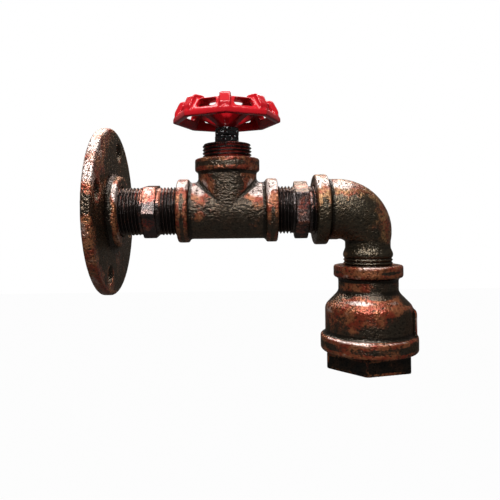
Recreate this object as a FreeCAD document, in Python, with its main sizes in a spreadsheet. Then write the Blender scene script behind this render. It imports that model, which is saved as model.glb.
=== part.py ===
import FreeCAD, Part
import math
import os
import Sketcher
from FreeCAD import Placement, Rotation, Vector

# Industrial pipe wall light: 3/4" malleable iron fittings carry an E27 lampholder on a short arm.
# Frame: origin at the centre of the wall flange's back face, +X along the arm away from the wall,
# +Z up, -Y towards the viewer. All lengths are millimetres.

doc = FreeCAD.newDocument("PipeWallLight")
sheet = doc.addObject("Spreadsheet::Sheet", "Sizes")

# 3/4" and 1 1/4" pipe threads, and the gap that a made-up thread keeps here
THREADS = {
    "thread_od": 26.44, "thread_root": 24.12, "thread_pitch": 1.814,
    "big_thread_od": 41.91, "big_thread_root": 38.95, "big_thread_pitch": 2.309,
    "thread_gap": 0.06, "thread_depth": 14.0, "pipe_bore": 19.5,
    "thread_flank": 0.44, "thread_chamfer": 0.6, "thread_relief": 0.5, "cut_over": 0.02,
}
# Round flange on the wall, with four countersunk screw holes
FLANGE = {
    "flange_od": 89.6, "flange_plate": 5.0, "flange_edge_round": 1.1,
    "flange_hub_od": 38.6, "flange_depth": 9.4, "flange_root_round": 2.4,
    "flange_back_round": 0.5, "flange_hub_round": 0.9, "flange_hub_draft": 0.4,
    "screw_circle": 70.0, "screw_hole": 6.0, "screw_sink": 10.6, "screw_sink_depth": 2.4,
    "screw_turn": 16.5, "flange_grip": 8.9,
}
# Hexagon nipples, one on each side of the tee
NIPPLES = {
    "wall_reach": 30.1, "wall_hex_start": 12.2, "wall_hex_width": 7.2,
    "arm_reach": 19.8, "arm_hex_start": 9.1, "arm_hex_width": 7.3,
    "hex_flats": 27.2, "hex_corner_cut": 0.9, "collar_length": 1.6,
    "wall_hex_turn": 7.0, "arm_hex_turn": 26.0,
}
# Tee with its branch upwards
TEE = {
    "tee_half": 26.7, "tee_height": 27.8, "tee_body_od": 30.6, "tee_bead_od": 34.4,
    "tee_bead_width": 5.8, "tee_neck_od": 31.8, "tee_branch_bead_od": 35.0,
    "tee_branch_bead_width": 6.5, "tee_crotch_round": 2.0, "tee_core": 23.4,
    "bead_round": 1.0, "neck_round": 1.4, "bead_slope": 0.9, "branch_draft": 0.6,
}
# Street elbow that turns down: threaded socket on the arm, threaded spigot below
ELBOW = {
    "elbow_reach": 29.2, "elbow_bead_od": 38.0, "elbow_bead_width": 6.6, "elbow_leg_od": 32.8,
    "elbow_bend": 17.5, "elbow_mid_od": 31.3, "elbow_end_od": 24.2, "elbow_collar_od": 26.6,
    "elbow_collar_drop": 25.0, "elbow_collar_width": 1.0, "elbow_collar_flare": 4.0,
}
# Reducer that widens to the lamp
REDUCER = {
    "reducer_top": 30.3, "top_bead_od": 36.9, "top_bead_width": 6.1, "reducer_neck_od": 32.0,
    "shoulder_height": 31.1, "shoulder_depth": 7.6, "reducer_body_od": 46.6,
    "low_bead_od": 51.8, "low_bead_width": 7.7, "reducer_length": 45.4,
    "rib_radius": 25.0, "rib_width": 5.0, "rib_turn": 17.0, "big_thread_depth": 17.8,
    "holder_room": 39.6, "core_room": 30.4, "core_slope": 4.0,
    "shoulder_upper_round": 4.0, "shoulder_lower_round": 5.0, "low_bead_slope": 1.4,
    "rib_sunk": 2.0, "rib_rise": 0.6, "rib_slope": 2.6, "rib_top_round": 2.5,
}
# Hexagon bushing that closes the reducer and leaves the lamp's mouth
BUSHING = {
    "bushing_flats": 42.6, "bushing_head": 8.9, "bushing_shank": 17.3, "bushing_bore": 33.0,
    "bushing_turn": 13.8, "bushing_corner_cut": 0.3,
}
# Threaded plug in the tee's branch, and the rotary switch hung in it
SWITCH = {
    "plug_length": 20.8, "plug_rise": 7.9, "plug_top_wall": 4.0, "plug_bush_hole": 9.7,
    "bush_od": 9.4, "bush_bore": 6.1, "bush_flange_od": 12.6, "bush_flange": 1.0,
    "tag_thickness": 0.6, "tag_od": 15.6, "tag_tail_width": 4.0, "tag_tail_length": 14.0,
    "switch_od": 15.4, "switch_height": 12.0, "blade_width": 2.8, "blade_thickness": 0.8,
    "blade_length": 2.6, "blade_offset": 4.0, "moulding_gap": 0.1, "tag_tail_gap": 0.3,
    "bush_short": 0.2,
    "nut_flats": 12.7, "nut_height": 4.45, "nut_corner_cut": 0.5,
    "spindle_od": 6.0, "spindle_flat": 4.6, "spindle_seat": 2.0, "spindle_short": 0.3,
    "screw_hole_over": 0.4,
}
# Red handwheel: an eight-sided cap with a ridge on each corner and a slot between each pair
WHEEL = {
    "wheel_gap": 0.3, "wheel_drop": 2.3, "wheel_corner": 29.2, "wheel_rim_height": 9.4,
    "wheel_top_corner": 24.6, "wheel_wall": 3.0, "wheel_ridge_width": 5.6, "wheel_peak": 11.8,
    "wheel_peak_radius": 20.6, "slot_low": 4.3, "slot_height": 4.4, "slot_width": 11.4,
    "slot_taper": 1.4, "slot_foot_round": 1.2, "slot_top_round": 1.0, "wheel_band": 2.6,
    "wheel_roof": 2.6, "wheel_roof_inset": 2.2, "eye_radius": 12.6,
    "ridge_foot": 0.6, "ridge_inset": 1.15, "ridge_bend": 5.6, "ridge_bend_round": 3.0,
    "peak_out": 4.2, "peak_out_round": 3.0, "peak_in": 2.6, "peak_in_round": 1.6,
    "ridge_in": 3.6, "ridge_root": 2.0,
    "hub_od": 9.2, "hub_height": 9.0, "spoke_width": 5.0, "spoke_depth": 4.6,
    "hub_flare": 0.8, "hub_foot_round": 0.6, "spoke_hub_drop": 1.0, "spoke_hub_depth": 7.4,
    "spoke_rim_drop": 0.6, "spoke_reach": 18.2, "slit_width": 0.8,
    "washer_od": 9.0, "washer_thickness": 0.8, "wheel_screw_od": 3.0, "wheel_screw_head": 5.6,
    "wheel_screw_head_height": 2.2, "wheel_screw_length": 9.0, "wheel_fit": 0.05,
}
# Porcelain lampholder with its brass screw shell and contacts
HOLDER = {
    "holder_od": 32.4, "holder_collar_od": 38.0, "holder_collar": 3.0, "holder_mouth": 24.5,
    "holder_cap_od": 28.0, "holder_cap_rise": 7.0, "shell_bore": 26.6, "shell_wall": 0.45,
    "shell_length": 22.0, "shell_lip": 0.5, "shell_lip_bore": 18.0,
    "seat_ring_height": 3.0, "seat_ring_bore": 31.0, "contact_od": 8.0, "contact_head": 1.0,
    "contact_travel": 1.2, "contact_stem_od": 3.0, "contact_stem_length": 5.0,
    "contact_recess": 10.0, "contact_recess_depth": 2.5,
    "post_od": 4.0, "post_rise": 3.0, "post_sunk": 2.0, "post_offset": 6.0, "loose_fit": 0.15,
}
# Single-core leads, laid loose inside the pipe
LEADS = {
    "lead_od": 2.0, "lead_start": 2.0, "lead_bend": 8.0, "neutral_drop": 6.0,
    "earth_side": 8.3, "earth_bend": 9.0, "lead_rise": 6.0,
}

row = 1
for group in (THREADS, FLANGE, NIPPLES, TEE, ELBOW, REDUCER, BUSHING, SWITCH, WHEEL, HOLDER, LEADS):
    for alias, number in group.items():
        sheet.set(f"A{row}", alias)
        sheet.set(f"B{row}", str(number))
        sheet.setAlias(f"B{row}", alias)
        row += 1

# Places along the arm and down the drop, worked out from the sizes above
PLACES = {
    "tee_left": "flange_depth + wall_reach",
    "tee_axis": "tee_left + tee_half",
    "tee_right": "tee_axis + tee_half",
    "elbow_face": "tee_right + arm_reach",
    "drop_axis": "elbow_face + elbow_reach",
    "elbow_core_bend": "elbow_reach - thread_depth - 0.7",
    "spigot_end": "-(reducer_top + thread_depth)",
    "reducer_foot": "-(reducer_top + reducer_length)",
    "holder_seat": "reducer_foot + bushing_shank",
    "holder_floor": "holder_seat + holder_collar - loose_fit",
    "holder_top": "holder_seat + holder_collar + holder_cap_rise",
    "plug_top": "tee_height + plug_rise",
    "plug_ceiling": "plug_top - plug_top_wall",
    "switch_top": "plug_ceiling - tag_thickness - bush_flange",
    "switch_foot": "switch_top - switch_height",
    "blade_foot": "switch_foot - blade_length",
    "nuts_top": "plug_top + 2 * nut_height",
    "wheel_foot": "nuts_top + wheel_gap",
    "rim_foot": "wheel_foot + wheel_drop",
    "hub_top": "wheel_foot + hub_height",
}
for alias, formula in PLACES.items():
    sheet.set(f"A{row}", alias)
    sheet.set(f"B{row}", "=" + formula)
    sheet.setAlias(f"B{row}", alias)
    row += 1
doc.recompute()

NAMES = [name for group in (THREADS, FLANGE, NIPPLES, TEE, ELBOW, REDUCER, BUSHING, SWITCH,
                            WHEEL, HOLDER, LEADS, PLACES) for name in group]


def linked(formula):
    """The formula with every size name written as a reference to its cell."""
    words = []
    word = ""
    for letter in str(formula) + " ":
        if letter.isalnum() or letter == "_":
            word += letter
            continue
        words.append("Sizes." + word if word in NAMES else word)
        words.append(letter)
        word = ""
    return "".join(words).strip()


def value(formula):
    """The number that a formula of size names comes to."""
    return float(sheet.evalExpression(linked(formula)))


def bind(thing, path, formula):
    """Tie a property to a formula of size names."""
    thing.setExpression(path, linked(formula))


def new_body(label, x="0", turn_axis=None, turn="0"):
    """An empty body with its own label, standing at x and turned about one axis."""
    body = doc.addObject("PartDesign::Body", label)
    body.Label = label
    if turn_axis is not None:
        body.Placement = Placement(Vector(), Rotation(turn_axis, value(turn)))
        bind(body, "Placement.Rotation.Angle", turn)
    bind(body, "Placement.Base.x", x)
    return body


def new_sketch(body, name, plane, offset="0"):
    """A sketch on one of the body's own origin planes, moved along that plane's normal."""
    sketch = body.newObject("Sketcher::SketchObject", name)
    role = plane + "_Plane"
    face = [item for item in body.Origin.OriginFeatures if item.Role == role][0]
    sketch.AttachmentSupport = (face, [""])
    sketch.MapMode = "FlatFace"
    bind(sketch, "AttachmentOffset.Base.z", offset)
    return sketch


def outline(sketch, corners):
    """Closed outline through corners (across, up) or (across, up, round), all formulas."""
    count = len(corners)
    spots = [Vector(value(corner[0]), value(corner[1]), 0) for corner in corners]
    rounds = [corner[2] if len(corner) > 2 else None for corner in corners]
    starts = []
    ends = []
    arcs = []
    for i, spot in enumerate(spots):
        if rounds[i] is None:
            starts.append(spot)
            ends.append(spot)
            arcs.append(None)
            continue
        back = (spots[i - 1] - spot).normalize()
        ahead = (spots[(i + 1) % count] - spot).normalize()
        half = back.getAngle(ahead) / 2
        radius = value(rounds[i])
        centre = spot + (back + ahead).normalize() * (radius / math.sin(half))
        start = spot + back * (radius / math.tan(half))
        end = spot + ahead * (radius / math.tan(half))
        left_turn = back.cross(ahead).z < 0
        first = start if left_turn else end
        last = end if left_turn else start
        low = math.atan2(first.y - centre.y, first.x - centre.x)
        high = math.atan2(last.y - centre.y, last.x - centre.x)
        circle = Part.Circle(centre, Vector(0, 0, 1), radius)
        starts.append(start)
        ends.append(end)
        arcs.append((Part.ArcOfCircle(circle, low, high), left_turn))
    lines = [sketch.addGeometry(Part.LineSegment(ends[i], starts[(i + 1) % count]), False)
             for i in range(count)]
    rules = []
    ties = []
    for i, corner in enumerate(corners):
        before = lines[i - 1]
        after = lines[i]
        if arcs[i] is None:
            rules.append(Sketcher.Constraint("Coincident", before, 2, after, 1))
            handle = after
        else:
            arc = sketch.addGeometry(arcs[i][0], False)
            handle = sketch.addGeometry(Part.Point(spots[i]), True)
            entry = 1 if arcs[i][1] else 2
            rules.append(Sketcher.Constraint("PointOnObject", handle, 1, before))
            rules.append(Sketcher.Constraint("PointOnObject", handle, 1, after))
            rules.append(Sketcher.Constraint("Tangent", before, 2, arc, entry))
            rules.append(Sketcher.Constraint("Tangent", after, 1, arc, 3 - entry))
            ties.append((len(rules), rounds[i]))
            rules.append(Sketcher.Constraint("Radius", arc, value(rounds[i])))
        for kind, formula in (("DistanceX", corner[0]), ("DistanceY", corner[1])):
            ties.append((len(rules), formula))
            rules.append(Sketcher.Constraint(kind, -1, 1, handle, 1, value(formula)))
    sketch.addConstraint(rules)
    for index, formula in ties:
        sketch.renameConstraint(index, f"size_{index}")
        bind(sketch, f"Constraints.size_{index}", formula)


def ring(sketch, diameter, across="0", up="0"):
    """A circle of a given diameter round a point of the sketch."""
    centre = Vector(value(across), value(up), 0)
    circle = sketch.addGeometry(Part.Circle(centre, Vector(0, 0, 1), value(diameter) / 2), False)
    for kind, formula in (("DistanceX", across), ("DistanceY", up)):
        index = sketch.addConstraint(
            Sketcher.Constraint(kind, -1, 1, circle, 3, value(formula)))
        sketch.renameConstraint(index, kind)
        bind(sketch, "Constraints." + kind, formula)
    index = sketch.addConstraint(Sketcher.Constraint("Diameter", circle, value(diameter)))
    sketch.renameConstraint(index, "bore")
    bind(sketch, "Constraints.bore", diameter)


def turned(body, name, corners, axis, cut=False, at="0"):
    """Turn a half profile in the XZ plane about the arm (H) or the upright axis at x (V)."""
    sketch = new_sketch(body, name + "_profile", "XZ")
    bind(sketch, "AttachmentOffset.Base.x", at)
    outline(sketch, corners)
    kind = "PartDesign::Groove" if cut else "PartDesign::Revolution"
    feature = body.newObject(kind, name)
    feature.Profile = sketch
    feature.ReferenceAxis = (sketch, [axis + "_Axis"])
    feature.Angle = 360
    doc.recompute()
    return feature


def threaded(body, name, axis, start, length, thread, at="0"):
    """Cut V rings at the thread's pitch from start over a length, along H or V."""
    pitch = thread + "_pitch"
    rim = f"{thread}_od / 2 + cut_over"
    middle = f"{start} + {pitch} / 2"
    flank = f"{pitch} * thread_flank"
    notch = [(f"{middle} - {flank}", rim), (f"{middle} + {flank}", rim),
             (middle, f"{thread}_root / 2")]
    if axis == "V":
        notch = [(up, across) for across, up in notch]
    groove = turned(body, name, notch, axis, cut=True, at=at)
    pattern = body.newObject("PartDesign::LinearPattern", name + "_turns")
    pattern.Originals = [groove]
    pattern.Direction = (groove.Profile[0], [axis + "_Axis"])
    bind(pattern, "Occurrences", f"floor(({length}) / {pitch})")
    bind(pattern, "Length", f"(floor(({length}) / {pitch}) - 1) * {pitch}")
    body.Tip = pattern
    doc.recompute()


def padded(body, name, sketch, length, cut=False, both_ways=False):
    """Pad or pocket a sketch along its own normal."""
    feature = body.newObject("PartDesign::Pocket" if cut else "PartDesign::Pad", name)
    feature.Profile = sketch
    feature.Midplane = both_ways
    feature.Reversed = cut
    bind(feature, "Length", length)
    doc.recompute()
    return feature


def round_about(body, original, count, axis="Z"):
    """Repeat a feature evenly round one of the body's own axes."""
    pattern = body.newObject("PartDesign::PolarPattern", original.Name + "_set")
    pattern.Originals = [original]
    line = [item for item in body.Origin.OriginFeatures if item.Role == axis + "_Axis"][0]
    pattern.Axis = (line, [""])
    pattern.Angle = 360
    pattern.Occurrences = count
    body.Tip = pattern
    doc.recompute()
    return pattern


def polygon(sketch, sides, corner_radius, turn):
    """A regular polygon with its corners on a circle, first corner at the turn angle."""
    step = 360 / sides
    outline(sketch, [(f"({corner_radius}) * cos({turn} + {step * k})",
                      f"({corner_radius}) * sin({turn} + {step * k})") for k in range(sides)])


def corner_cuts(body, name, axis, near, far, corner_radius, cut):
    """Chamfer a hexagon's corners at both ends with a turned cut."""
    outside = f"{corner_radius} + {cut}"
    for place, end, inward in (("near", near, "+"), ("far", far, "-")):
        deep = f"{end} {inward} {cut} * 1.2"
        wedge = [(end, f"{corner_radius} - {cut} * 2"), (end, outside), (deep, outside),
                 (deep, f"{corner_radius} + cut_over")]
        if axis == "V":
            wedge = [(up, across) for across, up in wedge]
        turned(body, f"{name}_{place}", wedge, axis, cut=True)


# ---- wall flange: cast disc with a threaded hub ----
flange = new_body("wall_flange", turn_axis=Vector(1, 0, 0), turn="360 - screw_turn")
bore = "thread_od / 2 + thread_gap"
turned(flange, "flange_casting", [
    ("0", bore), ("0", "flange_od / 2", "flange_back_round"),
    ("flange_plate", "flange_od / 2", "flange_edge_round"),
    ("flange_plate", "flange_hub_od / 2 + flange_hub_draft", "flange_root_round"),
    ("flange_depth", "flange_hub_od / 2 - flange_hub_draft", "flange_hub_round"),
    ("flange_depth", bore, "flange_back_round")], "H")
hole = new_sketch(flange, "screw_hole_outline", "YZ")
ring(hole, "screw_hole", "0", "screw_circle / 2")
screw_hole = padded(flange, "screw_hole", hole, "flange_plate", cut=True)
round_about(flange, screw_hole, 4, "X")
sink = flange.newObject("PartDesign::SubtractiveCone", "screw_sink")
bind(sink, "Radius1", "screw_hole / 2")
bind(sink, "Radius2", "screw_sink / 2")
bind(sink, "Height", "screw_sink_depth")
sink.AttachmentSupport = ([item for item in flange.Origin.OriginFeatures
                           if item.Role == "YZ_Plane"][0], [""])
sink.MapMode = "FlatFace"
bind(sink, "AttachmentOffset.Base.y", "screw_circle / 2")
bind(sink, "AttachmentOffset.Base.z", "flange_plate - screw_sink_depth")
doc.recompute()
round_about(flange, sink, 4, "X")


def nipple(label, start, face_gap, hex_start, hex_width, turn, inner_start, inner_end):
    """A hexagon nipple: bored tube, hexagon, plain collar and a thread on each side.

    start is where the nipple's outer sight begins; inner_start and inner_end are its two ends."""
    body = new_body(label, start)
    turned(body, "tube", [
        (f"-({inner_start})", "pipe_bore / 2"),
        (f"-({inner_start})", "thread_od / 2", "thread_chamfer"),
        (f"{face_gap} + {inner_end}", "thread_od / 2", "thread_chamfer"),
        (f"{face_gap} + {inner_end}", "pipe_bore / 2")], "H")
    hexagon = new_sketch(body, "hex_outline", "YZ", hex_start)
    polygon(hexagon, 6, "hex_flats / 2 / cos(30)", turn)
    padded(body, "hexagon", hexagon, hex_width)
    corner_cuts(body, "hex_chamfer", "H", hex_start, f"{hex_start} + {hex_width}",
                "hex_flats / 2 / cos(30)", "hex_corner_cut")
    hollow = new_sketch(body, "bore_outline", "YZ", f"-({inner_start})")
    ring(hollow, "pipe_bore")
    padded(body, "bore", hollow, f"{face_gap} + {inner_start} + {inner_end}", cut=True)
    threaded(body, "near_thread", "H", f"-({inner_start}) + thread_chamfer",
             f"{inner_start} + {hex_start} - 2 * thread_chamfer", "thread")
    far_start = f"{hex_start} + {hex_width} + collar_length"
    threaded(body, "far_thread", "H", far_start,
             f"{face_gap} + {inner_end} - ({far_start}) - thread_chamfer", "thread")
    return body


# ---- nipples: wall to tee, and tee to elbow ----
wall_nipple = nipple("wall_nipple", "flange_depth", "wall_reach", "wall_hex_start",
                     "wall_hex_width", "wall_hex_turn", "flange_grip", "thread_depth")
arm_nipple = nipple("arm_nipple", "tee_right", "arm_reach", "arm_hex_start",
                    "arm_hex_width", "arm_hex_turn", "thread_depth", "thread_depth")

# ---- tee: run along the arm, branch upwards, a bead round each mouth ----
tee = new_body("pipe_tee", "tee_axis")
turned(tee, "run", [
    ("-tee_half", "0"), ("-tee_half", "tee_bead_od / 2", "bead_round"),
    ("-(tee_half - tee_bead_width)", "tee_bead_od / 2", "bead_round"),
    ("-(tee_half - tee_bead_width) + bead_slope", "tee_body_od / 2", "neck_round"),
    ("tee_half - tee_bead_width - bead_slope", "tee_body_od / 2", "neck_round"),
    ("tee_half - tee_bead_width", "tee_bead_od / 2", "bead_round"),
    ("tee_half", "tee_bead_od / 2", "bead_round"), ("tee_half", "0")], "H")
branch = turned(tee, "branch", [
    ("0", "0"), ("tee_neck_od / 2 - branch_draft", "0"),
    ("tee_neck_od / 2", "tee_height - tee_branch_bead_width - bead_slope", "neck_round"),
    ("tee_branch_bead_od / 2", "tee_height - tee_branch_bead_width", "bead_round"),
    ("tee_branch_bead_od / 2", "tee_height", "bead_round"), ("0", "tee_height")], "V")
doc.recompute()
crotch_edges = [f"Edge{i + 1}" for i, edge in enumerate(tee.Shape.Edges)
                if edge.Curve.TypeId == "Part::GeomBSplineCurve"]
crotch = tee.newObject("PartDesign::Fillet", "crotch_round")
crotch.Base = (branch, crotch_edges)
crotch_room = "(tee_half - tee_bead_width - bead_slope - neck_round * 0.66 - tee_neck_od / 2)"
bind(crotch, "Radius", f"min(tee_crotch_round; {crotch_room} * 0.65)")
doc.recompute()
thread_room = "(thread_depth + thread_relief)"
turned(tee, "run_core", [
    ("-tee_half", "0"), ("-tee_half", bore), (f"-(tee_half - {thread_room})", bore),
    (f"-(tee_half - {thread_room})", "tee_core / 2"),
    (f"tee_half - {thread_room}", "tee_core / 2"), (f"tee_half - {thread_room}", bore),
    ("tee_half", bore), ("tee_half", "0")], "H", cut=True)
turned(tee, "branch_core", [
    ("0", "0"), ("tee_core / 2", "0"), ("tee_core / 2", f"tee_height - {thread_room}"),
    (bore, f"tee_height - {thread_room}"), (bore, "tee_height"), ("0", "tee_height")],
    "V", cut=True)

# ---- street elbow: socket on the arm, swept bend, threaded spigot downwards ----
elbow = new_body("street_elbow", "elbow_face")
turned(elbow, "socket", [
    ("0", "0"), ("0", "elbow_bead_od / 2", "bead_round"),
    ("elbow_bead_width", "elbow_bead_od / 2", "bead_round"),
    ("elbow_bead_width + bead_slope", "elbow_leg_od / 2", "neck_round"),
    ("elbow_reach - elbow_bend", "elbow_leg_od / 2"), ("elbow_reach - elbow_bend", "0")], "H")


def bend_spine(body, name, bend, start):
    """Quarter arc in the XZ plane, from the arm's axis at start down to the drop's axis."""
    sketch = new_sketch(body, name, "XZ")
    radius = value(bend)
    centre = Vector(value(start), -radius, 0)
    arc = sketch.addGeometry(
        Part.ArcOfCircle(Part.Circle(centre, Vector(0, 0, 1), radius), 0, math.pi / 2), False)
    sketch.addConstraint([
        Sketcher.Constraint("PointOnObject", arc, 2, -1),
        Sketcher.Constraint("Vertical", arc, 2, arc, 3),
        Sketcher.Constraint("Horizontal", arc, 1, arc, 3),
        Sketcher.Constraint("DistanceX", -1, 1, arc, 3, value(start)),
        Sketcher.Constraint("Radius", arc, radius)])
    for index, alias, formula in ((3, "start", start), (4, "bend", bend)):
        sketch.renameConstraint(index, alias)
        bind(sketch, "Constraints." + alias, formula)
    return sketch


def bend_section(body, name, bend, start, angle, diameter):
    """Circle square to the bend's arc, at an angle along it."""
    sketch = new_sketch(body, name, "XY", f"{bend} * (cos({angle}) - 1)")
    sketch.AttachmentOffset = Placement(Vector(), Rotation(Vector(0, 1, 0), 90 + angle))
    bind(sketch, "AttachmentOffset.Base.x", f"{start} + {bend} * sin({angle})")
    bind(sketch, "AttachmentOffset.Base.z", f"{bend} * (cos({angle}) - 1)")
    ring(sketch, diameter)
    return sketch


bend_start = "elbow_reach - elbow_bend"
bend_path = bend_spine(elbow, "bend_path", "elbow_bend", bend_start)
sections = [bend_section(elbow, f"bend_section_{angle}", "elbow_bend", bend_start, angle, size)
            for angle, size in ((0, "elbow_leg_od"), (45, "elbow_mid_od"), (90, "elbow_end_od"))]
doc.recompute()
bend = elbow.newObject("PartDesign::AdditivePipe", "bend")
bend.Profile = sections[0]
bend.Spine = (bend_path, ["Edge1"])
bend.Sections = sections[1:]
bend.Transformation = "Multisection"
bend.Mode = "Frenet"
doc.recompute()
turned(elbow, "spigot", [
    ("0", "-elbow_bend"), ("elbow_end_od / 2", "-elbow_bend"),
    ("elbow_end_od / 2", "-(elbow_collar_drop - elbow_collar_flare)", "3"),
    ("elbow_collar_od / 2", "-(elbow_collar_drop - elbow_collar_width)", "0.4"),
    ("elbow_collar_od / 2", "-elbow_collar_drop"), ("thread_od / 2", "-elbow_collar_drop"),
    ("thread_od / 2", "spigot_end", "thread_chamfer"), ("0", "spigot_end")],
    "V", at="elbow_reach")
threaded(elbow, "spigot_thread", "V", "spigot_end + thread_chamfer",
         "-spigot_end - elbow_collar_drop - thread_chamfer", "thread", at="elbow_reach")
turned(elbow, "socket_bore", [
    ("0", "0"), ("0", bore), (thread_room, bore), (thread_room, "pipe_bore / 2"),
    ("elbow_reach - elbow_core_bend", "pipe_bore / 2"),
    ("elbow_reach - elbow_core_bend", "0")], "H", cut=True)
core_start = "elbow_reach - elbow_core_bend"
core_path = bend_spine(elbow, "core_path", "elbow_core_bend", core_start)
core_section = bend_section(elbow, "core_section", "elbow_core_bend", core_start, 0, "pipe_bore")
doc.recompute()
core = elbow.newObject("PartDesign::SubtractivePipe", "core_bend")
core.Profile = core_section
core.Spine = (core_path, ["Edge1"])
doc.recompute()
spigot_hole = new_sketch(elbow, "spigot_bore_outline", "XY", "spigot_end")
ring(spigot_hole, "pipe_bore", "elbow_reach", "0")
padded(elbow, "spigot_bore", spigot_hole, "-spigot_end - elbow_core_bend", cut=True)

# ---- reducer: small socket above, wide socket below, one cast rib ----
reducer = new_body("bell_reducer", "drop_axis", Vector(0, 0, 1), "360 - rib_turn")
shoulder = "reducer_top + reducer_length - shoulder_height"
turned(reducer, "reducer_casting", [
    ("0", "-reducer_top"), ("top_bead_od / 2", "-reducer_top", "bead_round"),
    ("top_bead_od / 2", "-(reducer_top + top_bead_width)", "bead_round"),
    ("reducer_neck_od / 2", "-(reducer_top + top_bead_width + bead_slope)", "neck_round"),
    ("reducer_neck_od / 2", f"-({shoulder})", "shoulder_upper_round"),
    ("reducer_body_od / 2", f"-({shoulder} + shoulder_depth)", "shoulder_lower_round"),
    ("reducer_body_od / 2", "reducer_foot + low_bead_width + low_bead_slope", "neck_round"),
    ("low_bead_od / 2", "reducer_foot + low_bead_width", "bead_round"),
    ("low_bead_od / 2", "reducer_foot", "bead_round"), ("0", "reducer_foot")], "V")
rib_outline = new_sketch(reducer, "rib_outline", "XZ")
outline(rib_outline, [
    ("reducer_body_od / 2 - rib_sunk", f"-({shoulder} + shoulder_depth - rib_rise)"),
    ("rib_radius", f"-({shoulder} + shoulder_depth + rib_slope)", "rib_top_round"),
    ("rib_radius", "reducer_foot + low_bead_width / 2"),
    ("reducer_body_od / 2 - rib_sunk", "reducer_foot + low_bead_width / 2")])
padded(reducer, "rib", rib_outline, "rib_width", both_ways=True)
big_bore = "big_thread_od / 2 + thread_gap"
turned(reducer, "reducer_core", [
    ("0", "-reducer_top"), (bore, "-reducer_top"), (bore, "spigot_end - thread_relief"),
    ("thread_root / 2", "spigot_end - thread_relief"),
    ("core_room / 2", "spigot_end - core_slope"),
    ("core_room / 2", "holder_seat + holder_collar + seat_ring_height"),
    ("holder_room / 2", "holder_seat + holder_collar + seat_ring_height"),
    ("holder_room / 2", "reducer_foot + big_thread_depth"),
    (big_bore, "reducer_foot + big_thread_depth"), (big_bore, "reducer_foot"),
    ("0", "reducer_foot")], "V", cut=True)

# ---- hexagon bushing: screwed up into the reducer, open for the lamp ----
bushing = new_body("hex_bushing", "drop_axis")
turned(bushing, "shank", [
    ("bushing_bore / 2", "reducer_foot - cut_over"),
    ("big_thread_od / 2", "reducer_foot - cut_over"),
    ("big_thread_od / 2", "holder_seat", "thread_chamfer"),
    ("bushing_bore / 2", "holder_seat")], "V")
head_outline = new_sketch(bushing, "head_outline", "XY", "reducer_foot - bushing_head")
polygon(head_outline, 6, "bushing_flats / 2 / cos(30)", "bushing_turn")
padded(bushing, "head", head_outline, "bushing_head")
corner_cuts(bushing, "head_chamfer", "V", "reducer_foot - bushing_head", "reducer_foot",
            "bushing_flats / 2 / cos(30)", "bushing_corner_cut")
mouth = new_sketch(bushing, "mouth_outline", "XY", "reducer_foot - bushing_head")
ring(mouth, "bushing_bore")
padded(bushing, "mouth", mouth, "bushing_head + bushing_shank", cut=True)
threaded(bushing, "shank_thread", "V", "reducer_foot + big_thread_pitch * 0.6",
         "bushing_shank - big_thread_pitch", "big_thread")

# ---- branch plug: threaded all over, hollow below for the switch ----
plug = new_body("branch_plug", "tee_axis")
turned(plug, "plug_blank", [
    ("plug_bush_hole / 2", "plug_ceiling"), ("pipe_bore / 2", "plug_ceiling", "0.6"),
    ("pipe_bore / 2", "plug_top - plug_length"),
    ("thread_od / 2", "plug_top - plug_length", "thread_chamfer"),
    ("thread_od / 2", "plug_top", "thread_chamfer"), ("plug_bush_hole / 2", "plug_top")], "V")
threaded(plug, "plug_thread", "V", "plug_top - plug_length + thread_chamfer",
         "plug_length - thread_chamfer / 2", "thread")

# ---- rotary switch: moulded body, brass blades, threaded bush, solder tag, two nuts ----
switch = new_body("switch_body", "tee_axis")
turned(switch, "moulding", [
    ("0", "switch_foot"), ("switch_od / 2", "switch_foot", "0.8"),
    ("switch_od / 2", "switch_top", "0.6"), ("spindle_od / 2 + moulding_gap", "switch_top"),
    ("spindle_od / 2 + moulding_gap", "switch_foot + spindle_seat - moulding_gap"),
    ("0", "switch_foot + spindle_seat - moulding_gap")], "V")

bush = new_body("switch_bush", "tee_axis")
turned(bush, "bush", [
    ("bush_bore / 2", "switch_top"), ("bush_flange_od / 2", "switch_top"),
    ("bush_flange_od / 2", "switch_top + bush_flange"), ("bush_od / 2", "switch_top + bush_flange"),
    ("bush_od / 2", "nuts_top - bush_short", "0.4"),
    ("bush_bore / 2", "nuts_top - bush_short")], "V")

tag = new_body("earth_tag", "tee_axis")
tag_outline = new_sketch(tag, "washer_outline", "XY", "plug_ceiling - tag_thickness")
ring(tag_outline, "tag_od")
padded(tag, "washer", tag_outline, "tag_thickness")
tail_outline = new_sketch(tag, "tail_outline", "XY", "plug_ceiling - tag_tail_length")
tail_side = "switch_od / 2 + tag_tail_gap"
outline(tail_outline, [
    ("-tag_tail_width / 2", tail_side), ("tag_tail_width / 2", tail_side),
    ("tag_tail_width / 2", f"{tail_side} + tag_thickness"),
    ("-tag_tail_width / 2", f"{tail_side} + tag_thickness")])
padded(tag, "tail", tail_outline, "tag_tail_length")
bridge_outline = new_sketch(tag, "bridge_outline", "XY", "plug_ceiling - tag_thickness")
outline(bridge_outline, [
    ("-tag_tail_width / 2", "bush_flange_od / 2"), ("tag_tail_width / 2", "bush_flange_od / 2"),
    ("tag_tail_width / 2", f"{tail_side} + tag_thickness"),
    ("-tag_tail_width / 2", f"{tail_side} + tag_thickness")])
padded(tag, "bridge", bridge_outline, "tag_thickness")
tag_hole = new_sketch(tag, "tag_hole_outline", "XY", "plug_ceiling - tag_thickness")
ring(tag_hole, "plug_bush_hole")
padded(tag, "tag_hole", tag_hole, "tag_thickness", cut=True)


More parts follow.
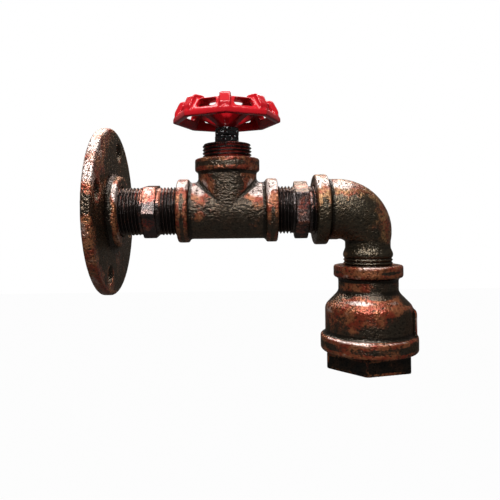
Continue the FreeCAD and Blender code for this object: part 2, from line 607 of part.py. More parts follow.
def bush_nut(label, foot, turn):
    """A hexagon nut on the switch bush, its foot at a height above the arm."""
    body = new_body(label, "tee_axis")
    sides = new_sketch(body, "nut_outline", "XY", foot)
    polygon(sides, 6, "nut_flats / 2 / cos(30)", turn)
    padded(body, "nut", sides, "nut_height")
    corner_cuts(body, "nut_chamfer", "V", foot, f"{foot} + nut_height",
                "nut_flats / 2 / cos(30)", "nut_corner_cut")
    hole = new_sketch(body, "nut_hole_outline", "XY", foot)
    ring(hole, "bush_od + 2 * thread_gap")
    padded(body, "nut_hole", hole, "nut_height", cut=True)
    return body


lower_nut = bush_nut("bush_nut", "plug_top", "30")
upper_nut = bush_nut("lock_nut", "plug_top + nut_height", "33")

# ---- spindle with a flat, turning in the bush ----
spindle = new_body("switch_spindle", "tee_axis")
turned(spindle, "spindle", [
    ("0", "switch_foot + spindle_seat"), ("spindle_od / 2", "switch_foot + spindle_seat", "0.4"),
    ("spindle_od / 2", "hub_top - spindle_short", "0.3"),
    ("wheel_screw_od / 2 + wheel_fit", "hub_top - spindle_short"),
    ("wheel_screw_od / 2 + wheel_fit", "hub_top - wheel_screw_length - screw_hole_over"),
    ("0", "hub_top - wheel_screw_length - screw_hole_over")], "V")
flat_outline = new_sketch(spindle, "flat_outline", "XY", "nuts_top - moulding_gap")
outline(flat_outline, [
    ("spindle_flat - spindle_od / 2", "-spindle_od"), ("spindle_od", "-spindle_od"),
    ("spindle_od", "spindle_od"), ("spindle_flat - spindle_od / 2", "spindle_od")])
padded(spindle, "flat", flat_outline, "hub_height + wheel_gap + moulding_gap", cut=True)

# ---- handwheel: eight-sided cap, ridges, slots, spokes and hub ----
wheel = new_body("handwheel", "tee_axis")


def eight_sided(name, height, corner_radius):
    """Octagon across the wheel at a height, its corners at 0, 45, 90 ... degrees."""
    sketch = new_sketch(wheel, name, "XY", height)
    polygon(sketch, 8, corner_radius, "0")
    return sketch


def lofted(name, low, high, cut=False):
    """Straight loft between two octagons."""
    kind = "PartDesign::SubtractiveLoft" if cut else "PartDesign::AdditiveLoft"
    feature = wheel.newObject(kind, name)
    feature.Profile = low
    feature.Sections = [high]
    feature.Ruled = True
    doc.recompute()
    return feature


rim_top = "rim_foot + wheel_rim_height"
outer_low = eight_sided("cap_low", "rim_foot + wheel_band", "wheel_corner")
outer_high = eight_sided("cap_high", rim_top, "wheel_top_corner")
lofted("cap", outer_low, outer_high)
band = eight_sided("band_outline", "rim_foot", "wheel_corner")
padded(wheel, "band", band, "wheel_band")
ridge_outline = new_sketch(wheel, "ridge_outline", "XZ")
outline(ridge_outline, [
    ("wheel_corner - wheel_wall - ridge_root", "rim_foot + ridge_foot"),
    ("wheel_corner - ridge_inset", "rim_foot + ridge_foot"),
    ("wheel_corner - ridge_inset", "rim_foot + ridge_bend", "ridge_bend_round"),
    ("wheel_peak_radius + peak_out", "rim_foot + wheel_peak", "peak_out_round"),
    ("wheel_peak_radius - peak_in", "rim_foot + wheel_peak", "peak_in_round"),
    ("wheel_peak_radius - ridge_in", f"{rim_top} - ridge_root")])
ridge = padded(wheel, "ridge", ridge_outline, "wheel_ridge_width", both_ways=True)
round_about(wheel, ridge, 8)
inner_low = eight_sided("hollow_low", "rim_foot", "wheel_corner - wheel_wall")
inner_high = eight_sided("hollow_high", f"{rim_top} - wheel_roof",
                         "wheel_top_corner - wheel_roof_inset")
lofted("hollow", inner_low, inner_high, cut=True)
eye = new_sketch(wheel, "eye_outline", "XY", f"{rim_top} - wheel_wall")
ring(eye, "2 * eye_radius")
padded(wheel, "eye", eye, "wheel_peak", cut=True)
slot_outline = new_sketch(wheel, "slot_outline", "YZ", "0")
outline(slot_outline, [
    ("-slot_width / 2", "rim_foot + slot_low", "slot_foot_round"),
    ("slot_width / 2", "rim_foot + slot_low", "slot_foot_round"),
    ("slot_width / 2 - slot_taper", "rim_foot + slot_low + slot_height", "slot_top_round"),
    ("-slot_width / 2 + slot_taper", "rim_foot + slot_low + slot_height", "slot_top_round")])
slot_outline.AttachmentOffset = Placement(Vector(), Rotation(Vector(0, 1, 0), 22.5))
bind(slot_outline, "AttachmentOffset.Base.z", "0")
slot = padded(wheel, "slot", slot_outline, "wheel_corner", cut=True)
round_about(wheel, slot, 8)
turned(wheel, "hub", [
    ("0", "wheel_foot"), ("hub_od / 2", "wheel_foot", "hub_foot_round"),
    ("hub_od / 2 + hub_flare", "hub_top", "0.8"),
    ("0", "hub_top")], "V")
spoke_outline = new_sketch(wheel, "spoke_outline", "XZ")
spoke_outline.AttachmentOffset = Placement(Vector(), Rotation(Vector(0, 1, 0), 45))
outline(spoke_outline, [
    ("1", "hub_top - spoke_hub_drop - spoke_hub_depth"),
    ("hub_od / 2", "hub_top - spoke_hub_drop - spoke_hub_depth"),
    ("spoke_reach", f"{rim_top} - spoke_rim_drop - spoke_depth"),
    ("spoke_reach", f"{rim_top} - spoke_rim_drop"), ("hub_od / 2", "hub_top - spoke_hub_drop"),
    ("1", "hub_top - spoke_hub_drop")])
spoke = padded(wheel, "spoke", spoke_outline, "spoke_width", both_ways=True)
round_about(wheel, spoke, 4)
keyed = new_sketch(wheel, "keyed_bore_outline", "XY", "wheel_foot")
half_flat = "(spindle_flat - spindle_od / 2 + wheel_fit)"
keyed_radius = "(spindle_od / 2 + wheel_fit)"
keyed_rise = math.sqrt(value(keyed_radius) ** 2 - value(half_flat) ** 2)
keyed_low = math.atan2(keyed_rise, value(half_flat))
keyed_circle = Part.Circle(Vector(), Vector(0, 0, 1), value(keyed_radius))
keyed_arc = keyed.addGeometry(
    Part.ArcOfCircle(keyed_circle, keyed_low, 2 * math.pi - keyed_low), False)
keyed_line = keyed.addGeometry(Part.LineSegment(
    Vector(value(half_flat), -keyed_rise, 0), Vector(value(half_flat), keyed_rise, 0)), False)
keyed.addConstraint([
    Sketcher.Constraint("Coincident", keyed_arc, 3, -1, 1),
    Sketcher.Constraint("Coincident", keyed_arc, 2, keyed_line, 1),
    Sketcher.Constraint("Coincident", keyed_arc, 1, keyed_line, 2),
    Sketcher.Constraint("Vertical", keyed_line),
    Sketcher.Constraint("Radius", keyed_arc, value(keyed_radius)),
    Sketcher.Constraint("DistanceX", -1, 1, keyed_line, 1, value(half_flat))])
for index, alias, formula in ((4, "bore", keyed_radius), (5, "flat", half_flat)):
    keyed.renameConstraint(index, alias)
    bind(keyed, "Constraints." + alias, formula)
padded(wheel, "keyed_bore", keyed, "hub_height", cut=True)

washer = new_body("wheel_washer", "tee_axis")
turned(washer, "washer_ring", [
    ("wheel_screw_od / 2 + moulding_gap", "hub_top"), ("washer_od / 2", "hub_top"),
    ("washer_od / 2", "hub_top + washer_thickness"),
    ("wheel_screw_od / 2 + moulding_gap", "hub_top + washer_thickness")], "V")

screw = new_body("wheel_screw", "tee_axis")
screw_seat = "hub_top + washer_thickness"
turned(screw, "screw", [
    ("0", "hub_top - wheel_screw_length"),
    ("wheel_screw_od / 2", "hub_top - wheel_screw_length", "0.3"),
    ("wheel_screw_od / 2", screw_seat), ("wheel_screw_head / 2", screw_seat),
    ("wheel_screw_head / 2", f"{screw_seat} + wheel_screw_head_height", "0.9"),
    ("0", f"{screw_seat} + wheel_screw_head_height")], "V")
slit = new_sketch(screw, "slit_outline", "XY", f"{screw_seat} + wheel_screw_head_height / 2")
outline(slit, [("-wheel_screw_head", "-slit_width / 2"), ("wheel_screw_head", "-slit_width / 2"),
               ("wheel_screw_head", "slit_width / 2"), ("-wheel_screw_head", "slit_width / 2")])
padded(screw, "slit", slit, "wheel_screw_head_height", cut=True)

# ---- lampholder: porcelain body, brass shell, contact, posts, seat ring ----
holder = new_body("holder_body", "drop_axis")
shell_seat = "shell_bore / 2 + shell_wall + loose_fit"
turned(holder, "porcelain", [
    ("contact_stem_od / 2 + loose_fit", "holder_floor"), ("contact_recess / 2", "holder_floor"),
    ("contact_recess / 2", "holder_floor - contact_recess_depth"),
    (shell_seat, "holder_floor - contact_recess_depth"),
    (shell_seat, "holder_seat - holder_mouth", "0.5"),
    ("holder_od / 2", "holder_seat - holder_mouth", "0.8"), ("holder_od / 2", "holder_seat"),
    ("holder_collar_od / 2", "holder_seat", "0.5"),
    ("holder_collar_od / 2", "holder_seat + holder_collar", "0.5"),
    ("holder_cap_od / 2", "holder_seat + holder_collar"),
    ("holder_cap_od / 2", "holder_top", "1.5"), ("contact_stem_od / 2 + loose_fit", "holder_top")],
    "V")
post_holes = new_sketch(holder, "post_hole_outline", "XY", "holder_top - post_sunk")
ring(post_holes, "post_od + 2 * wheel_fit", "post_offset", "0")
post_hole = padded(holder, "post_hole", post_holes, "post_sunk", cut=True)
round_about(holder, post_hole, 2)

shell = new_body("screw_shell", "drop_axis")
shell_end = "holder_floor - contact_recess_depth - loose_fit"
turned(shell, "shell", [
    ("shell_lip_bore / 2", f"{shell_end} - shell_lip"), ("shell_bore / 2", f"{shell_end} - shell_lip"),
    ("shell_bore / 2", f"{shell_end} - shell_length"),
    ("shell_bore / 2 + shell_wall", f"{shell_end} - shell_length"),
    ("shell_bore / 2 + shell_wall", shell_end), ("shell_lip_bore / 2", shell_end)], "V")

contact = new_body("centre_contact", "drop_axis")
contact_back = "holder_floor - contact_travel - loose_fit"
turned(contact, "contact", [
    ("0", f"{contact_back} - contact_head"), ("contact_od / 2", f"{contact_back} - contact_head", "0.4"),
    ("contact_od / 2", contact_back), ("contact_stem_od / 2", contact_back),
    ("contact_stem_od / 2", f"{contact_back} + contact_stem_length"),
    ("0", f"{contact_back} + contact_stem_length")], "V")

seat = new_body("seat_ring", "drop_axis")
turned(seat, "ring", [
    ("seat_ring_bore / 2", "holder_seat + holder_collar"),
    ("holder_collar_od / 2", "holder_seat + holder_collar"),
    ("holder_collar_od / 2", "holder_seat + holder_collar + seat_ring_height"),
    ("seat_ring_bore / 2", "holder_seat + holder_collar + seat_ring_height")], "V")


def pair(label, members):
    """Two like pieces kept in one node, as separate solids."""
    group = doc.addObject("Part::Compound", label)
    group.Label = label
    group.Links = members
    doc.recompute()
    return group


posts = []
for side in (-1, 1):
    post = doc.addObject("Part::Cylinder", "post")
    bind(post, "Radius", "post_od / 2")
    bind(post, "Height", "post_sunk + post_rise")
    bind(post, "Placement.Base.x", f"drop_axis + {side} * post_offset")
    bind(post, "Placement.Base.z", "holder_top - post_sunk")
    posts.append(post)
terminal_posts = pair("holder_terminals", posts)

blades = []
for side in (-1, 1):
    blade = doc.addObject("Part::Box", "blade")
    bind(blade, "Length", "blade_thickness")
    bind(blade, "Width", "blade_width")
    bind(blade, "Height", "blade_length")
    bind(blade, "Placement.Base.x", f"tee_axis + {side} * blade_offset - blade_thickness / 2")
    bind(blade, "Placement.Base.y", "-blade_width / 2")
    bind(blade, "Placement.Base.z", "blade_foot")
    blades.append(blade)
switch_blades = pair("switch_terminals", blades)


def lead(label, side, route):
    """A lead swept along straight runs and tangent arcs in an upright plane.

    route holds (x, z) or (x, z, bend) formulas, from the first end to the last."""
    spots = [Vector(value(point[0]), value(side), value(point[1])) for point in route]
    edges = []
    reached = spots[0]
    for i in range(1, len(route) - 1):
        back = (spots[i - 1] - spots[i]).normalize()
        ahead = (spots[i + 1] - spots[i]).normalize()
        half = back.getAngle(ahead) / 2
        radius = value(route[i][2])
        start = spots[i] + back * (radius / math.tan(half))
        end = spots[i] + ahead * (radius / math.tan(half))
        centre = spots[i] + (back + ahead).normalize() * (radius / math.sin(half))
        middle = centre + (spots[i] - centre).normalize() * radius
        edges.append(Part.LineSegment(reached, start).toShape())
        edges.append(Part.Arc(start, middle, end).toShape())
        reached = end
    edges.append(Part.LineSegment(reached, spots[-1]).toShape())
    direction = (spots[1] - spots[0]).normalize()
    core_circle = Part.Circle(spots[0], direction, value("lead_od") / 2)
    section = Part.Wire([core_circle.toShape()])
    swept = Part.Wire(edges).makePipeShell([section], True, True)
    feature = doc.addObject("Part::Feature", label)
    feature.Label = label
    feature.Shape = swept
    length = sum(edge.Length for edge in edges)
    thick = math.pi * value("lead_od") ** 2 / 4 * length
    print(label, "length", round(length, 1), "volume ratio", round(swept.Volume / thick, 4))
    return feature


leads = [
    lead("live_supply_lead", "0", [
        ("lead_start", "lead_rise"), ("tee_axis - blade_offset", "lead_rise", "lead_bend"),
        ("tee_axis - blade_offset", "blade_foot")]),
    lead("live_switched_lead", "0", [
        ("tee_axis + blade_offset", "blade_foot"),
        ("tee_axis + blade_offset", "lead_rise", "lead_bend"),
        ("drop_axis + post_offset", "lead_rise", "elbow_core_bend + lead_rise"),
        ("drop_axis + post_offset", "holder_top + post_rise")]),
    lead("neutral_lead", "0", [
        ("lead_start", "-neutral_drop"),
        ("drop_axis - post_offset", "-neutral_drop", "elbow_core_bend - neutral_drop"),
        ("drop_axis - post_offset", "holder_top + post_rise")]),
    lead("earth_lead", "earth_side", [
        ("lead_start", "0"), ("tee_axis", "0", "earth_bend"),
        ("tee_axis", "plug_ceiling - tag_tail_length")]),
]

pieces = [flange, wall_nipple, tee, arm_nipple, elbow, reducer, bushing, plug, switch, bush, tag,
          lower_nut, upper_nut, spindle, wheel, washer, screw, holder, shell, contact, seat,
          terminal_posts, switch_blades] + leads
doc.recompute()

broken = [item.Label for item in doc.Objects
          if "Invalid" in item.State or "Error" in item.State]
for piece in pieces:
    if piece.Shape.isNull() or not piece.Shape.isValid() or piece.Shape.Volume <= 0:
        broken.append(piece.Label)
if broken:
    raise RuntimeError("failed: " + ", ".join(broken))

os.makedirs("parts", exist_ok=True)
for piece in pieces:
    piece.Shape.exportStep(os.path.join("parts", piece.Label + ".step"))
    print(piece.Label, len(piece.Shape.Solids), round(piece.Shape.Volume, 1))
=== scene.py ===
import math
import bmesh
import bpy
import numpy as np
from mathutils import Matrix, Vector


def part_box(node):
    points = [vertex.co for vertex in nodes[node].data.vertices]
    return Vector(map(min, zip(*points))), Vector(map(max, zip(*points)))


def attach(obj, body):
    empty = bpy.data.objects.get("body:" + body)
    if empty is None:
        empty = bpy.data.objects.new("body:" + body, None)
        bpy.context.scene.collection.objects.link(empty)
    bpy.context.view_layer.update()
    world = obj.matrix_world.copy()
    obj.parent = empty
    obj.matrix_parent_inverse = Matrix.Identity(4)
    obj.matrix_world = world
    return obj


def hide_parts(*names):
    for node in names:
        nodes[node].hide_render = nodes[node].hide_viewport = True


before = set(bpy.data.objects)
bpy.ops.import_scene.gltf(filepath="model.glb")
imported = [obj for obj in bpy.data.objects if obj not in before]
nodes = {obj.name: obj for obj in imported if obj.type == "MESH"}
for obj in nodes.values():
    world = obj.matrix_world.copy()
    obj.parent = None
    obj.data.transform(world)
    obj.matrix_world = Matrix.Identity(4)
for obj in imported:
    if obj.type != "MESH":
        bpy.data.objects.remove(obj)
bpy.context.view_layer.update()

# ---- Wall flange ----
# Round malleable-iron floor flange with a threaded hub and four countersunk screw holes. It is
# sand cast, turned on its rim, and finished in dark antique bronze rubbed back to copper at its
# edges. Screws through its holes hold the light to the wall.

MM = 0.001


def lattice_noise(points, cell, seed):
    """Smooth value noise: random numbers on a cubic lattice, blended by the cubic 3t^2 - 2t^3.
    The points are moved a thousand cells so that every index is positive."""
    size = 32
    table = np.random.default_rng(seed).random((size, size, size))
    place = points / cell + 1000.0
    low = np.floor(place).astype(int)
    part = place - low
    part = part * part * (3.0 - 2.0 * part)
    total = np.zeros(len(points))
    for corner in range(8):
        step = np.array([corner & 1, corner >> 1 & 1, corner >> 2 & 1])
        weight = np.prod(np.where(step, part, 1.0 - part), axis=1)
        index = (low + step) % size
        total += weight * table[index[:, 0], index[:, 1], index[:, 2]]
    return total


def vertex_arrays(mesh):
    """Places and normals of a mesh's vertices as two arrays."""
    count = len(mesh.vertices)
    places = np.empty(count * 3)
    normals = np.empty(count * 3)
    mesh.vertices.foreach_get("co", places)
    mesh.vertex_normals.foreach_get("vector", normals)
    return places.reshape(-1, 3), normals.reshape(-1, 3)


def neighbour_mean(mesh, values):
    """Mean of a value over each vertex's neighbours along the mesh's edges."""
    ends = np.empty(len(mesh.edges) * 2, dtype=np.int64)
    mesh.edges.foreach_get("vertices", ends)
    ends = ends.reshape(-1, 2)
    total = np.zeros_like(values)
    count = np.zeros(len(values))
    for one, other in ((0, 1), (1, 0)):
        np.add.at(total, ends[:, one], values[ends[:, other]])
        np.add.at(count, ends[:, one], 1)
    return total / np.maximum(count, 1)[:, None]


def relax(mesh, times):
    """Smooth a mesh: each vertex moves half of the way to its neighbours' mean, so that the
    edges round off as in a casting."""
    places, _ = vertex_arrays(mesh)
    for _ in range(times):
        places += 0.5 * (neighbour_mean(mesh, places) - places)
    mesh.vertices.foreach_set("co", places.ravel())
    mesh.update()


def mark_edges(mesh, reach=3):
    """Attribute "worn": how far each vertex stands out from the mean of its surroundings, spread
    over a few rings of neighbours. Convex edges come near 1, flats near 0.5, hollows near 0."""
    full_stand = 0.12 * MM
    places, normals = vertex_arrays(mesh)
    around = places.copy()
    for _ in range(reach * 2):
        around = neighbour_mean(mesh, around)
    stand = np.einsum("ij,ij->i", places - around, normals) / full_stand
    for _ in range(reach):
        stand = neighbour_mean(mesh, stand[:, None])[:, 0]
    worn = np.clip(0.5 + stand, 0.0, 1.0)
    attribute = mesh.attributes.new("worn", "FLOAT", "POINT")
    attribute.data.foreach_set("value", worn)


def cast_skin(mesh, depth, cell, seed):
    """Sand-cast skin: every vertex sinks along its normal by up to depth, following two layers
    of lattice noise, the second at half the cell."""
    coarse_share = 0.65
    fine_share = 0.35
    places, normals = vertex_arrays(mesh)
    rough = (coarse_share * lattice_noise(places, cell, seed)
             + fine_share * lattice_noise(places, cell / 2, seed + 1))
    places -= normals * (depth * rough)[:, None]
    mesh.vertices.foreach_set("co", places.ravel())
    mesh.update()


def wear_and_light_spots(mesh, spots):
    """Attribute "rubbed": how much more or less than usual the finish is worn through, a sum of
    soft round spots (x, y, z, radius in mm, amount), each falling off as exp(-distance^2/radius^2).
    In places the spots are real wear; where they lift tops and front lines to the pale colour they
    are a painted highlight, and some dark ones beside raised parts are painted shade."""
    places, _ = vertex_arrays(mesh)
    more = np.zeros(len(places))
    for x, y, z, radius, amount in spots:
        away = np.sum((places / MM - np.array([x, y, z])) ** 2, axis=1)
        more += amount * np.exp(-away / radius ** 2)
    attribute = mesh.attributes.new("rubbed", "FLOAT", "POINT")
    attribute.data.foreach_set("value", more)


def show(name, mesh, body, material, replaced):
    """Make a piece of a mesh, smooth shaded, riding on its body in place of its CAD node."""
    mesh.polygons.foreach_set("use_smooth", [True] * len(mesh.polygons))
    mesh.materials.clear()
    mesh.materials.append(material)
    piece = bpy.data.objects.new(name, mesh)
    bpy.context.scene.collection.objects.link(piece)
    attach(piece, body)
    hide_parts(replaced)


def recast(node, voxel, rounds):
    """A fresh even mesh of a CAD node: its loose triangles are merged, the solid is remeshed in
    voxels, and the edges are relaxed as a casting's are."""
    merge_distance = 1e-6
    mesh = nodes[node].data.copy()
    work = bmesh.new()
    work.from_mesh(mesh)
    bmesh.ops.remove_doubles(work, verts=work.verts, dist=merge_distance)
    work.to_mesh(mesh)
    work.free()
    carrier = bpy.data.objects.new(node + "_carrier", mesh)
    bpy.context.scene.collection.objects.link(carrier)
    remesh = carrier.modifiers.new("remesh", "REMESH")
    remesh.mode = "VOXEL"
    remesh.voxel_size = voxel
    remesh.adaptivity = 0.0
    graph = bpy.context.evaluated_depsgraph_get()
    fresh = bpy.data.meshes.new_from_object(carrier.evaluated_get(graph))
    bpy.data.objects.remove(carrier)
    relax(fresh, rounds)
    return fresh


def link(tree, start, end):
    """Join two sockets of a material's node tree."""
    tree.links.new(start, end)


def antique(name, rubbing, dark, copper, seed, grain, edges):
    """Antique finish: glossy near-black bronze, rubbed back to copper in blotches, in flecks and
    along worn edges, and to a pale colour where it is rubbed most, over a sand-cast grain. The pale
    colour is bare metal in places, and a painted highlight where a piece's own spots put it on
    tops and front edges."""
    material = bpy.data.materials.new(name)
    material.use_nodes = True
    tree = material.node_tree
    shader = tree.nodes["Principled BSDF"]
    place = tree.nodes.new("ShaderNodeTexCoord")

    def vertex_value(attribute):
        """One of the mesh's own values."""
        node = tree.nodes.new("ShaderNodeAttribute")
        node.attribute_name = attribute
        return node.outputs["Fac"]

    def noise(waves, detail, roughness, shift):
        """Noise of the object's own coordinates, in waves per metre."""
        move = tree.nodes.new("ShaderNodeMapping")
        move.inputs["Location"].default_value = (shift, seed * 0.37, shift * 0.5)
        node = tree.nodes.new("ShaderNodeTexNoise")
        node.inputs["Scale"].default_value = waves
        node.inputs["Detail"].default_value = detail
        node.inputs["Roughness"].default_value = roughness
        link(tree, place.outputs["Object"], move.inputs["Vector"])
        link(tree, move.outputs["Vector"], node.inputs["Vector"])
        return node.outputs["Fac"]

    def sums(kind, one, other):
        """One sum, difference or product of two sockets or numbers."""
        node = tree.nodes.new("ShaderNodeMath")
        node.operation = kind
        for socket, term in zip(node.inputs, (one, other)):
            if isinstance(term, (int, float)):
                socket.default_value = term
            else:
                link(tree, term, socket)
        return node.outputs["Value"]

    def step(value, low, high):
        """Smooth step of a value from 0 at low to 1 at high."""
        node = tree.nodes.new("ShaderNodeMapRange")
        node.interpolation_type = "SMOOTHSTEP"
        node.inputs["From Min"].default_value = low
        node.inputs["From Max"].default_value = high
        link(tree, value, node.inputs["Value"])
        return node.outputs["Result"]

    def blend(share, one, other):
        """Mix of two colours by a share."""
        node = tree.nodes.new("ShaderNodeMix")
        node.data_type = "RGBA"
        link(tree, share, node.inputs["Factor"])
        for socket, colour in ((node.inputs["A"], one), (node.inputs["B"], other)):
            if isinstance(colour, tuple):
                socket.default_value = colour + (1.0,)
            else:
                link(tree, colour, socket)
        return node.outputs["Result"]

    blotches = noise(waves=55.0, detail=3.0, roughness=0.6, shift=0.11)
    clouds = noise(waves=170.0, detail=3.0, roughness=0.6, shift=0.17)
    flecks = noise(waves=700.0, detail=2.0, roughness=0.6, shift=0.23)
    pits = noise(waves=1150.0, detail=1.0, roughness=0.5, shift=0.31)
    worn = vertex_value("worn")
    standing = step(worn, 0.56, 0.9)
    hollow = step(worn, 0.1, 0.42)

    # How far the finish is rubbed: blotches, then flecks, clouds, standing edges and the piece's
    # own spots, which also carry painted highlights and painted shade. Copper shows from bare up,
    # and the pale colour well above it, which is polished metal and painted highlight.
    rub = sums("ADD", blotches, sums("MULTIPLY", flecks, 0.3))
    rub = sums("ADD", rub, sums("MULTIPLY", clouds, 0.45))
    rub = sums("ADD", rub, sums("MULTIPLY", standing, edges))
    rub = sums("ADD", rub, vertex_value("rubbed"))
    bare = 1.07 - 0.4 * rubbing
    share = step(rub, bare, bare + 0.2)

    # Below the rub lies pitted bronze, and above it copper that clouds to a ruddy tone and keeps
    # burnt flecks. Hollows stay black.
    pitted = step(pits, 0.32, 0.5)
    black = tuple(0.3 * d for d in dark)
    burnt = tuple(0.2 * c for c in copper)
    ruddy = (copper[0] * 0.75, copper[1] * 0.35, copper[2] * 0.4)
    warm = tuple(0.7 * d + 0.12 * c for c, d in zip(copper, dark))
    tone = blend(step(clouds, 0.4, 0.68), dark, warm)
    copper_to_highlight = blend(step(clouds, 0.4, 0.6), ruddy, copper)
    # Well above bare, the pale colour: polished metal, and painted highlight where the spots push it.
    copper_to_highlight = blend(step(rub, bare + 0.42, bare + 0.8), copper_to_highlight, PALE_METAL_AND_HIGHLIGHT)
    skin = blend(share, blend(pitted, black, tone), blend(step(flecks, 0.33, 0.49), burnt, copper_to_highlight))
    link(tree, blend(hollow, black, skin), shader.inputs["Base Color"])
    link(tree, sums("SUBTRACT", 0.85, sums("MULTIPLY", share, 0.3)), shader.inputs["Metallic"])
    link(tree, sums("ADD", sums("MULTIPLY", flecks, 0.24), 0.11), shader.inputs["Roughness"])
    shader.inputs["Specular IOR Level"].default_value = 0.4
    shader.inputs["Specular Tint"].default_value = (0.55, 0.42, 0.3, 1.0)
    shader.inputs["Coat Weight"].default_value = 0.28
    shader.inputs["Coat Roughness"].default_value = 0.14
    height = sums("ADD", flecks, sums("MULTIPLY", pits, 0.5))
    bump = tree.nodes.new("ShaderNodeBump")
    bump.inputs["Strength"].default_value = 1.0
    bump.inputs["Distance"].default_value = 0.00055 * grain
    link(tree, height, bump.inputs["Height"])
    link(tree, bump.outputs["Normal"], shader.inputs["Normal"])
    link(tree, bump.outputs["Normal"], shader.inputs["Coat Normal"])
    return material


BRONZE = (0.080, 0.061, 0.042)
# Pale colour of the most rubbed places: polished metal, and painted highlight on lit tops.
PALE_METAL_AND_HIGHLIGHT = (0.62, 0.51, 0.47)
flange_finish = antique("flange_finish", rubbing=0.3, dark=BRONZE, copper=(0.38, 0.15, 0.065),
                        seed=1, grain=1.7, edges=0.15)
flange = recast("wall_flange", voxel=0.55 * MM, rounds=2)
mark_edges(flange)
wear_and_light_spots(flange, [
    # lower rim, from the front round to the foot
    (1, -43.8, -9, 6, 0.48), (1, -38.5, -22.2, 7, 0.48), (1, -28.6, -34.1, 7, 0.48),
    (1, -15.2, -41.8, 6, 0.45),
    # a dark stretch of rim, then its upper part pushed to the pale colour: a painted highlight
    (3, -44.0, 4.0, 5, -0.2), (2, -40, 18, 9, 0.75), (2, -30, 32, 9, 0.75), (2, -17, 41, 8, 0.75),
    # the hub: its top pale, a painted highlight; its sides rubbed to copper; one dark patch
    (9.5, -15.5, 6, 5, 0.8), (9.5, -15.5, -4, 5, 0.4), (9.5, -11.0, -13, 5, 0.45),
    (7, -14, 12, 4, 1.0), (6, -19, 2, 4, -0.3)])
cast_skin(flange, depth=0.08 * MM, cell=1.7 * MM, seed=11)
show("flange_casting", flange, "fixture", flange_finish, "wall_flange")

# ---- Nipples and branch plug ----
# Machined 3/4 inch hexagon nipples, from flange to tee and from tee to elbow, and the threaded
# plug in the tee's branch. Their threads are cut, so they are crisp and nearly black, and only
# the hexagons are rubbed back to copper, the wall nipple's upper facet to a painted highlight.


def closed_grid(places):
    """Mesh of a grid of points that closes on itself in both directions, faces outwards."""
    rows, columns = places.shape[:2]
    index = np.arange(rows * columns).reshape(rows, columns)
    ahead = np.roll(index, -1, axis=0)
    faces = np.stack([index, np.roll(index, -1, axis=1), np.roll(ahead, -1, axis=1), ahead], axis=2)
    mesh = bpy.data.meshes.new("grid")
    mesh.from_pydata(places.reshape(-1, 3), [], faces.reshape(-1, 4).tolist())
    mesh.update()
    return mesh


def rounded_line(corners):
    """Points along a closed outline of (along, out, round) corners in mm, in the corners' order.
    Each corner is cut by a seven-point curve of its round, and the points between are at most
    a spacing apart, or ten spacings in the bore, which is hardly seen."""
    spacing = 0.22
    bore_spacings = 10
    bore_limit = 10.0
    count = len(corners)
    spots = [np.array(corner[:2], float) for corner in corners]
    line = []
    for i, corner in enumerate(corners):
        spot = spots[i]
        back = spots[i - 1] - spot
        ahead = spots[(i + 1) % count] - spot
        reach = min(np.linalg.norm(back), np.linalg.norm(ahead)) * 0.49
        back = back / np.linalg.norm(back)
        ahead = ahead / np.linalg.norm(ahead)
        half = math.acos(max(-1.0, min(1.0, float(back @ ahead)))) / 2
        cut = min(corner[2] / max(math.tan(half), 1e-6), reach) if len(corner) > 2 else 0.0
        if cut <= 0:
            line.append(spot)
            continue
        shares = np.linspace(0.0, 1.0, 7)[:, None]
        one = spot + back * cut
        other = spot + ahead * cut
        line.extend((1 - shares) ** 2 * one + 2 * shares * (1 - shares) * spot + shares ** 2 * other)
    line = np.array(line)
    ends = np.roll(line, -1, axis=0)
    spans = []
    for a, b in zip(line, ends):
        gap = spacing * (bore_spacings if max(a[1], b[1]) < bore_limit else 1)
        if np.linalg.norm(b - a) > 1e-9:
            pieces = max(1, int(np.ceil(np.linalg.norm(b - a) / gap)))
            spans.append(np.linspace(a, b, pieces, endpoint=False))
    return np.concatenate(spans)


def hexagon_reach(angle, flats, turn):
    """Distance from a hexagon's centre to its side along an angle: half the flats over the cosine
    of the angle to the nearest side's middle."""
    sector = np.mod(angle - turn, math.pi / 3) - math.pi / 6
    return flats / 2 / np.cos(sector)


THREAD_CREST = 26.44 / 2
THREAD_ROOT = 24.12 / 2
THREAD_PITCH = 1.814
THREAD_LEAD_IN = 1.2
THREAD_END_DROP = 0.7
PIPE_BORE = 19.5 / 2


def thread_dip(along, angle):
    """How far a right-hand 55 degree thread dips below its crest: a triangle wave of the distance
    along the axis less the turn, with its tips rounded off, times the thread's depth."""
    wave = np.abs(np.mod(along / THREAD_PITCH - angle / (2 * math.pi), 1.0) * 2.0 - 1.0)
    return np.clip((wave - 0.12) / 0.76, 0.0, 1.0) * (THREAD_CREST - THREAD_ROOT)


def turned_piece(line, shape, centre, upright):
    """Closed surface of a line of (along, out) points carried round an axis. shape(along, out,
    angle) gives the radius on the whole grid; the axis is the arm or, if upright, vertical."""
    columns = 216
    angle = np.linspace(0.0, 2 * math.pi, columns, endpoint=False)[None, :]
    along = np.repeat(line[:, :1], columns, axis=1)
    angle = angle + 0 * along
    out = shape(along, np.repeat(line[:, 1:], columns, axis=1), angle)
    if upright:
        grid = np.stack([out * np.cos(angle), out * np.sin(angle), along], axis=2)
    else:
        grid = np.stack([along, out * np.cos(angle), out * np.sin(angle)], axis=2)
    return closed_grid((grid + np.array(centre)) * MM)


